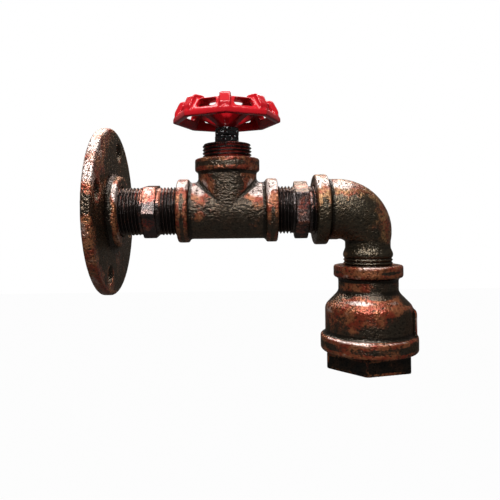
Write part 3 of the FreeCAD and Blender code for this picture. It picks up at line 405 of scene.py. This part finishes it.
def nipple_mesh(node, hexagon_start, hexagon_width, turn):
    """Hexagon nipple: one outline from end to end, its radius the hexagon's between the two
    hexagon faces and the thread's elsewhere, with a plain collar beyond the hexagon."""
    flats = 27.2
    collar = 1.6
    relief = 1.3
    low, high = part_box(node)
    start = low[0] / MM
    end = high[0] / MM
    hex_end = hexagon_start + hexagon_width
    peak = flats / 2 / math.cos(math.pi / 6)
    line = rounded_line([
        (start, PIPE_BORE, 0.4), (start, THREAD_CREST - THREAD_END_DROP, 0.5),
        (start + THREAD_LEAD_IN, THREAD_CREST, 0.3),
        (hexagon_start, THREAD_CREST - 0.4), (hexagon_start, peak - 0.4, 0.5),
        (hexagon_start + 0.5, peak, 0.4), (hex_end - 0.5, peak, 0.4), (hex_end, peak - 0.4, 0.5),
        (hex_end, THREAD_CREST - 0.3), (end - THREAD_LEAD_IN, THREAD_CREST, 0.3),
        (end, THREAD_CREST - THREAD_END_DROP, 0.5), (end, PIPE_BORE, 0.4)])

    def shape(along, out, angle):
        """The lesser of the outline and the hexagon's side, which falls away exponentially at its
        two faces; beside it a plain relief and collar, and beyond them the thread's dip."""
        side = hexagon_reach(angle, flats, math.radians(turn))
        between_faces = (along >= hexagon_start - 1e-6) & (along <= hex_end + 1e-6)
        in_hexagon = between_faces & (out > THREAD_CREST - 0.5)
        from_face = np.minimum(along - hexagon_start, hex_end - along)
        hexagon = np.minimum(out, side) - 0.35 * np.exp(-np.clip(from_face, 0, 9) / 0.25)
        hexagon = np.maximum(hexagon, THREAD_CREST - 0.45)
        outside = (out > PIPE_BORE + 1.5) & ~in_hexagon
        plain = (along > hexagon_start - relief) & (along < hex_end + collar)
        thread = np.where(plain, out - 0.25, out - thread_dip(along, angle))
        return np.where(in_hexagon, hexagon, np.where(outside, thread, out))

    return turned_piece(line, shape, (0, 0, 0), False)


THREAD_BLACK = (0.055, 0.044, 0.042)
nipple_finish = antique("nipple_finish", rubbing=0.2, dark=THREAD_BLACK, copper=(0.3, 0.1, 0.06),
                        seed=2, grain=0.5, edges=0.05)
tee_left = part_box("pipe_tee")[0][0] / MM
tee_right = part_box("pipe_tee")[1][0] / MM
wall_nipple = nipple_mesh("wall_nipple", tee_left - 17.9, hexagon_width=7.2, turn=7.0)
arm_nipple = nipple_mesh("arm_nipple", tee_right + 9.1, hexagon_width=7.3, turn=26.0)
# Wall nipple's hexagon: lower facet rubbed to copper, upper facet pushed to the pale colour as a painted
# highlight. Arm nipple's hexagon: rubbed to copper round its front.
wear_and_light_spots(wall_nipple, [(25.2, -13, -8, 6, 0.3), (25.2, -10, 10, 6, 0.8)])
wear_and_light_spots(arm_nipple, [(105.7, -9, -12, 6, 0.3), (105.7, -15, 2, 5, 0.3), (105.7, -8, 13, 5, 0.3)])
for name, mesh, seed in (("wall_nipple", wall_nipple, 21), ("arm_nipple", arm_nipple, 22)):
    mark_edges(mesh, 1)
    cast_skin(mesh, depth=0.04 * MM, cell=0.9 * MM, seed=seed)
    show(name + "_threaded", mesh, "fixture", nipple_finish, name)

PLUG_ROOF = 4.0
BUSH_HOLE = 4.85
plug_low, plug_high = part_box("branch_plug")
tee_axis = (plug_low[0] + plug_high[0]) / 2 / MM
plug_foot = plug_low[2] / MM
plug_top = plug_high[2] / MM
plug_line = rounded_line([
    (plug_foot, THREAD_CREST - THREAD_END_DROP, 0.3), (plug_foot, PIPE_BORE, 0.3),
    (plug_top - PLUG_ROOF, PIPE_BORE, 0.5), (plug_top - PLUG_ROOF, BUSH_HOLE),
    (plug_top, BUSH_HOLE, 0.2), (plug_top, THREAD_CREST - 0.8, 0.5),
    (plug_top - 0.9, THREAD_CREST, 0.3), (plug_foot + THREAD_LEAD_IN, THREAD_CREST, 0.3)])


def plug_shape(along, out, angle):
    """The thread's dip over the plug's whole outside, its bore and ends plain."""
    return np.where(out > THREAD_CREST - 0.6, out - thread_dip(along, angle), out)


plug = turned_piece(plug_line, plug_shape, (tee_axis, 0, 0), True)
mark_edges(plug, 1)
cast_skin(plug, depth=0.04 * MM, cell=0.9 * MM, seed=23)
plug_finish = antique("plug_finish", rubbing=0.75, dark=THREAD_BLACK, copper=(0.4, 0.075, 0.06),
                      seed=3, grain=0.5, edges=0.2)
show("branch_plug_threaded", plug, "fixture", plug_finish, "branch_plug")

# ---- Tee ----
# Malleable-iron tee, cast in one piece with a bead round each mouth and a V where the branch meets
# the run. Its skin is coarse, and the beads are rubbed most.

tee_finish = antique("tee_finish", rubbing=0.3, dark=BRONZE, copper=(0.29, 0.108, 0.048),
                     seed=4, grain=1.35, edges=0.25)
tee = recast("pipe_tee", voxel=0.45 * MM, rounds=2)
mark_edges(tee)
wear_and_light_spots(tee, [
    # the V and the run's front, mostly dark
    (70, -15.5, 13, 9, 0.05), (51, -14, -5, 6, 0.2), (80, -13, -8, 6, 0.06),
    (66, -9, -13, 14, -0.15),
    # the branch, its bead rubbed on the right
    (78, -13, 24, 6, 0.2), (56, -13, 24, 5, -0.1),
    # fronts of the beads by the flange and by the arm
    (42, -17, 1, 6, 0.15), (42, -13, -12, 5, -0.1), (89, -17, 5, 5, 0.1), (89, -15, -7, 7, -0.3),
    # the run's two shoulders, pale: a painted highlight; and the dark front between them
    (52, -11, 11.5, 6, 1.15), (82, -11, 11.5, 6, 1.15), (66, -17, 16, 7, -0.12),
    # tops of the two beads, pale: a painted highlight
    (42, -10, 14, 6, 0.75), (90.5, -10, 14, 6, 0.75)])
cast_skin(tee, depth=0.12 * MM, cell=1.3 * MM, seed=31)
show("tee_casting", tee, "fixture", tee_finish, "pipe_tee")

# ---- Street elbow ----
# Malleable-iron elbow, cast with a beaded socket that screws onto the arm's nipple and a male
# spigot below that screws into the reducer. Its back is rubbed along the bend, to copper and in
# places to the pale colour, which is polished metal and also painted highlight.

elbow_finish = antique("elbow_finish", rubbing=0.3, dark=(0.08, 0.064, 0.042),
                       copper=(0.28, 0.145, 0.062), seed=5, grain=1.1, edges=0.2)
elbow = recast("street_elbow", voxel=0.45 * MM, rounds=1)
mark_edges(elbow)
wear_and_light_spots(elbow, [
    # the socket's bead, dark in front, and pale on top: a painted highlight
    (116, -17, -8, 9, -0.35), (115, -12, 14, 6, 0.8),
    # along the back of the bend, from its top down to its outer side
    (136.5, -6, 10, 7, 0.4), (146, -5, 2.5, 7, 0.45), (150.5, -5, -5, 7, 0.45),
    (152, -5, -13, 6, 0.3), (149, -9, -17, 6, 0.25),
    # the dark inner cheek, and the shoulder behind the bead, pale: a painted highlight
    (129.5, -15, -11, 12, -0.3), (126, -9, 12.5, 7, 0.8),
    # the spigot's thread, not rubbed at all
    (141.9, -13, -27.5, 6, -0.6), (134, -11, -27.5, 6, -0.6), (150, -11, -27.5, 6, -0.6)])
cast_skin(elbow, depth=0.1 * MM, cell=1.4 * MM, seed=41)
show("elbow_casting", elbow, "fixture", elbow_finish, "street_elbow")

# ---- Bell reducer ----
# Cast reducing socket with a small bead above, a wide bead below and one rib down its side. It
# screws onto the elbow's spigot, and the lampholder stands inside it.

reducer_finish = antique("reducer_finish", rubbing=0.42, dark=BRONZE, copper=(0.3, 0.105, 0.045),
                         seed=6, grain=0.8, edges=0.28)
reducer = recast("bell_reducer", voxel=0.5 * MM, rounds=2)
mark_edges(reducer)
bushing_low, bushing_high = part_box("hex_bushing")
drop_axis = (bushing_low[0] + bushing_high[0]) / 2 / MM


def highlight_arc(reach, height, size, amount, first, last):
    """Spots every five degrees round the drop's axis, from one bearing to another; here they paint
    highlight lines.
    """
    bearings = [math.radians(bearing) for bearing in range(first, last, 5)]
    return [(drop_axis + reach * math.cos(bearing), reach * math.sin(bearing), height, size, amount)
            for bearing in bearings]


wear_and_light_spots(reducer, [
    # painted highlight lines on the front: the upper bead's foot, the shoulder's edge, the wide bead's
    # top
    *highlight_arc(reach=17.5, height=-29.8, size=2.4, amount=0.18, first=-115, last=-60),
    *highlight_arc(reach=20.0, height=-48.4, size=2.0, amount=0.3, first=-145, last=-50),
    *highlight_arc(reach=24.6, height=-67.2, size=1.6, amount=0.42, first=-160, last=-30),
    # neck and shoulder, in patches
    (130, -19.5, -52.5, 3, -0.3), (125.5, -13, -40, 6, 0.35), (134, -16, -42, 5, 0.3),
    (125.5, -13, -45, 4, -0.35), (144, -17, -45, 5, -0.35),
    # the body, in patches
    (119, -10, -57, 7, 0.3), (130, -19, -56, 6, 0.3), (142, -23, -57, 5, 0.15),
    (141, -22, -64, 6, -0.3),
    # the wide bead's front
    (125, -20, -70.5, 5, 0.25), (134, -24, -70.5, 5, 0.3),
    # painted shade beside the rib, the rib's edge rubbed to copper, and the dark end of the wide bead
    (157.5, -16, -58, 5, -0.5), (165.5, -8, -58, 3, 0.4), (165.5, -8, -64, 3, 0.4),
    (160, -18, -70, 9, -0.15)])
cast_skin(reducer, depth=0.08 * MM, cell=1.5 * MM, seed=51)
show("reducer_casting", reducer, "fixture", reducer_finish, "bell_reducer")

# ---- Hexagon bushing ----
# Cast hexagon bushing screwed up into the reducer, which holds the lampholder in. Its bore is the
# lamp's mouth, and it is the darkest of the fittings.

bushing_finish = antique("bushing_finish", rubbing=0.1, dark=(0.02, 0.017, 0.013),
                         copper=(0.29, 0.115, 0.048), seed=7, grain=0.9, edges=0.25)
bushing = recast("hex_bushing", voxel=0.5 * MM, rounds=1)
mark_edges(bushing)
wear_and_light_spots(bushing, [(160.5, -12, -82, 4, 0.3), (142, -24, -84, 4, 0.1)])
cast_skin(bushing, depth=0.06 * MM, cell=1.5 * MM, seed=61)
show("bushing_casting", bushing, "fixture", bushing_finish, "hex_bushing")

# ---- Switch nuts ----
# Two black enamelled hexagon nuts on the threaded bush of the switch. The lower one clamps the
# switch to the plug and the upper one locks it, and both are thickly painted and glossy.


def enamel(name, colour, roughness, shine, ripple, peel_scale, coat, coat_roughness):
    """Glossy paint over metal: a clear coat, faint orange peel and a slow shift of its depth."""
    material = bpy.data.materials.new(name)
    material.use_nodes = True
    tree = material.node_tree
    shader = tree.nodes["Principled BSDF"]
    place = tree.nodes.new("ShaderNodeTexCoord")
    peel = tree.nodes.new("ShaderNodeTexNoise")
    peel.inputs["Scale"].default_value = peel_scale
    peel.inputs["Detail"].default_value = 1.0
    link(tree, place.outputs["Object"], peel.inputs["Vector"])
    drift = tree.nodes.new("ShaderNodeTexNoise")
    drift.inputs["Scale"].default_value = 70.0
    link(tree, place.outputs["Object"], drift.inputs["Vector"])
    mix = tree.nodes.new("ShaderNodeMix")
    mix.data_type = "RGBA"
    mix.inputs["A"].default_value = tuple(0.78 * c for c in colour) + (1.0,)
    mix.inputs["B"].default_value = tuple(min(1.0, 1.12 * c) for c in colour) + (1.0,)
    link(tree, drift.outputs["Fac"], mix.inputs["Factor"])
    link(tree, mix.outputs["Result"], shader.inputs["Base Color"])
    shader.inputs["Roughness"].default_value = roughness
    shader.inputs["Specular IOR Level"].default_value = shine
    shader.inputs["Coat Weight"].default_value = coat
    shader.inputs["Coat Roughness"].default_value = coat_roughness
    bump = tree.nodes.new("ShaderNodeBump")
    bump.inputs["Strength"].default_value = ripple
    bump.inputs["Distance"].default_value = 0.0016
    link(tree, peel.outputs["Fac"], bump.inputs["Height"])
    link(tree, bump.outputs["Normal"], shader.inputs["Normal"])
    link(tree, bump.outputs["Normal"], shader.inputs["Coat Normal"])
    return material


black_enamel = enamel("black_enamel", (0.004, 0.004, 0.0045), roughness=0.12, shine=0.4, ripple=1.0,
                      peel_scale=500.0, coat=1.0, coat_roughness=0.08)
for node in ("bush_nut", "lock_nut"):
    nut = recast(node, voxel=0.28 * MM, rounds=3)
    show(node + "_enamelled", nut, "fixture", black_enamel, node)

# ---- Handwheel ----
# Cast eight-sided handwheel in thick red enamel: a ridge over each corner, a slot in the rim
# between each pair, and four spokes to the hub. It sits on the switch's spindle and turns it, and
# a plated washer and screw hold it down.

red_enamel = enamel("red_enamel", (0.47, 0.006, 0.012), roughness=0.45, shine=0.05, ripple=0.05,
                    peel_scale=300.0, coat=0.6, coat_roughness=0.03)
wheel = recast("handwheel", voxel=0.36 * MM, rounds=6)
show("handwheel_enamelled", wheel, "wheel", red_enamel, "handwheel")


def plain(name, colour, metallic, roughness, speck=0.08):
    """Plain finish of one colour, with a little fine unevenness in its colour and roughness: the
    colour runs from two specks darker to one lighter, the roughness a quarter either way."""
    material = bpy.data.materials.new(name)
    material.use_nodes = True
    tree = material.node_tree
    shader = tree.nodes["Principled BSDF"]
    place = tree.nodes.new("ShaderNodeTexCoord")
    noise = tree.nodes.new("ShaderNodeTexNoise")
    noise.inputs["Scale"].default_value = 500.0
    noise.inputs["Detail"].default_value = 3.0
    link(tree, place.outputs["Object"], noise.inputs["Vector"])
    mix = tree.nodes.new("ShaderNodeMix")
    mix.data_type = "RGBA"
    mix.inputs["A"].default_value = tuple(c * (1 - 2 * speck) for c in colour) + (1.0,)
    mix.inputs["B"].default_value = tuple(min(1.0, c * (1 + speck)) for c in colour) + (1.0,)
    link(tree, noise.outputs["Fac"], mix.inputs["Factor"])
    link(tree, mix.outputs["Result"], shader.inputs["Base Color"])
    rough = tree.nodes.new("ShaderNodeMapRange")
    rough.inputs["To Min"].default_value = roughness * 0.75
    rough.inputs["To Max"].default_value = roughness * 1.25
    link(tree, noise.outputs["Fac"], rough.inputs["Value"])
    link(tree, rough.outputs["Result"], shader.inputs["Roughness"])
    shader.inputs["Metallic"].default_value = metallic
    return material


def dress(material, *names):
    """Give CAD nodes that stay as they are a finished material."""
    for name in names:
        mesh = nodes[name].data
        mesh.materials.clear()
        mesh.materials.append(material)


dress(plain("zinc_plate", (0.62, 0.63, 0.64), metallic=1.0, roughness=0.3),
      "wheel_washer", "wheel_screw", "switch_spindle")

# ---- Switch and lampholder ----
# The rotary switch hangs in the plug, and the porcelain lampholder stands on the bushing's shank.
# Both are plain bought-in pieces: brass contacts, moulded phenolic, white glaze, a red fibre ring.

dress(plain("brass", (0.78, 0.57, 0.25), metallic=1.0, roughness=0.28), "switch_bush",
      "switch_terminals", "earth_tag", "screw_shell", "centre_contact", "holder_terminals")
dress(plain("phenolic", (0.06, 0.035, 0.025), metallic=0.0, roughness=0.4), "switch_body")
dress(plain("glazed_porcelain", (0.86, 0.85, 0.81), metallic=0.0, roughness=0.12, speck=0.02),
      "holder_body")
dress(plain("vulcanised_fibre", (0.3, 0.1, 0.06), metallic=0.0, roughness=0.6), "seat_ring")

# ---- Leads ----
# Silicone-sleeved single cores laid inside the pipe: the supply to the switch, the switched live
# and the neutral to the lampholder, and the earth to its tag under the bush.

for name, colour in (("live_supply_lead", (0.2, 0.09, 0.04)), ("live_switched_lead", (0.02, 0.02, 0.02)),
                     ("neutral_lead", (0.03, 0.14, 0.45)), ("earth_lead", (0.25, 0.5, 0.05))):
    dress(plain(name + "_sleeve", colour, metallic=0.0, roughness=0.45, speck=0.04), name)

# ---- Studio ----
# White surroundings, a pale floor well below the light, soft boxes overhead and behind, and a
# narrow strip and a small lamp in front; the camera stands where the photograph was taken.

REFLECTED_SHARE = 0.08
AMBIENT_LEVEL = 0.05
FLOOR_WHITE_SHARE = 0.98
FLOOR_GREY = 0.14
FLOOR_DROP = 0.6
FLOOR_REACH = 4.0


def background_share(tree):
    """How much of the white background a ray sees: all of it from the camera or passing through,
    and the reflected share in a reflection."""
    path = tree.nodes.new("ShaderNodeLightPath")
    reflected = tree.nodes.new("ShaderNodeMath")
    reflected.operation = "MULTIPLY"
    reflected.inputs[1].default_value = REFLECTED_SHARE
    link(tree, path.outputs["Is Glossy Ray"], reflected.inputs[0])
    most = tree.nodes.new("ShaderNodeMath")
    most.operation = "MAXIMUM"
    link(tree, path.outputs["Is Camera Ray"], most.inputs[0])
    link(tree, reflected.outputs["Value"], most.inputs[1])
    last = tree.nodes.new("ShaderNodeMath")
    last.operation = "MAXIMUM"
    link(tree, most.outputs["Value"], last.inputs[0])
    link(tree, path.outputs["Is Transmission Ray"], last.inputs[1])
    return last.outputs["Value"]


world = bpy.data.worlds.new("studio")
bpy.context.scene.world = world
world.use_nodes = True
world_tree = world.node_tree
ambient = world_tree.nodes["Background"]
ambient.inputs["Color"].default_value = (1, 1, 1, 1)
ambient_level = world_tree.nodes.new("ShaderNodeMapRange")
ambient_level.inputs["To Min"].default_value = AMBIENT_LEVEL
ambient_level.inputs["To Max"].default_value = 1.0
link(world_tree, background_share(world_tree), ambient_level.inputs["Value"])
link(world_tree, ambient_level.outputs["Result"], ambient.inputs["Strength"])

floor_material = bpy.data.materials.new("studio_floor")
floor_material.use_nodes = True
floor_tree = floor_material.node_tree
floor_shader = floor_tree.nodes["Principled BSDF"]
floor_shader.inputs["Base Color"].default_value = (FLOOR_GREY, FLOOR_GREY, FLOOR_GREY, 1)
floor_shader.inputs["Roughness"].default_value = 0.9
glow = floor_tree.nodes.new("ShaderNodeEmission")
glow.inputs["Strength"].default_value = 1.0
floor_mix = floor_tree.nodes.new("ShaderNodeMixShader")
white_share = floor_tree.nodes.new("ShaderNodeMath")
white_share.operation = "MULTIPLY"
white_share.inputs[1].default_value = FLOOR_WHITE_SHARE
link(floor_tree, background_share(floor_tree), white_share.inputs[0])
link(floor_tree, white_share.outputs["Value"], floor_mix.inputs["Fac"])
link(floor_tree, floor_shader.outputs["BSDF"], floor_mix.inputs[1])
link(floor_tree, glow.outputs["Emission"], floor_mix.inputs[2])
floor_output = floor_tree.nodes["Material Output"]
link(floor_tree, floor_mix.outputs["Shader"], floor_output.inputs["Surface"])
floor_mesh = bpy.data.meshes.new("floor")
corners = [(x * FLOOR_REACH, y * FLOOR_REACH, -FLOOR_DROP)
           for x, y in ((-1, -1), (1, -1), (1, 1), (-1, 1))]
floor_mesh.from_pydata(corners, [], [(0, 1, 2, 3)])
floor_mesh.materials.append(floor_material)
floor = bpy.data.objects.new("floor", floor_mesh)
bpy.context.scene.collection.objects.link(floor)


def soft_box(name, place, width, depth, power):
    """A rectangular soft box at a place, turned to face the middle of the light."""
    middle = Vector((0.08, 0.0, -0.01))
    lamp = bpy.data.lights.new(name, "AREA")
    lamp.shape = "RECTANGLE"
    lamp.size = width
    lamp.size_y = depth
    lamp.energy = power
    holder = bpy.data.objects.new(name, lamp)
    holder.location = place
    holder.rotation_euler = (middle - Vector(place)).to_track_quat("-Z", "Y").to_euler()
    bpy.context.scene.collection.objects.link(holder)


soft_box("front_strip", (0.03, -0.36, 0.36), width=0.5, depth=0.05, power=3.0)
soft_box("overhead_box", (0.06, -0.08, 0.48), width=0.5, depth=0.12, power=2.3)
soft_box("back_box", (0.07, 0.34, 0.38), width=0.6, depth=0.16, power=3.1)
soft_box("front_catch", (0.10, -0.42, 0.04), width=0.05, depth=0.05, power=0.14)

# The camera looks along the wall, square to the arm. Its lens and sensor are alike, so that the
# picture's width is its focal length, and the two shifts put its axis at the photograph's.
CAMERA_PLACE = ((tee_left + 34.54) * MM, -271.6 * MM, -6.05 * MM)
CAMERA_ROLL = 0.0122
AXIS_ROW = 221.5
AXIS_COLUMN = 242.4
PICTURE_SIDE = 500.0
camera_data = bpy.data.cameras.new("camera")
camera_data.lens = 36.0
camera_data.sensor_width = 36.0
camera_data.clip_start = 0.01
camera_data.shift_x = (PICTURE_SIDE / 2 - AXIS_COLUMN) / PICTURE_SIDE
camera_data.shift_y = (AXIS_ROW - PICTURE_SIDE / 2) / PICTURE_SIDE
camera = bpy.data.objects.new("camera", camera_data)
looking = Matrix.Rotation(math.pi / 2, 4, "X") @ Matrix.Rotation(-CAMERA_ROLL, 4, "Z")
camera.matrix_world = Matrix.Translation(CAMERA_PLACE) @ looking
bpy.context.scene.collection.objects.link(camera)
bpy.context.scene.camera = camera
bpy.context.scene.view_settings.view_transform = "Standard"
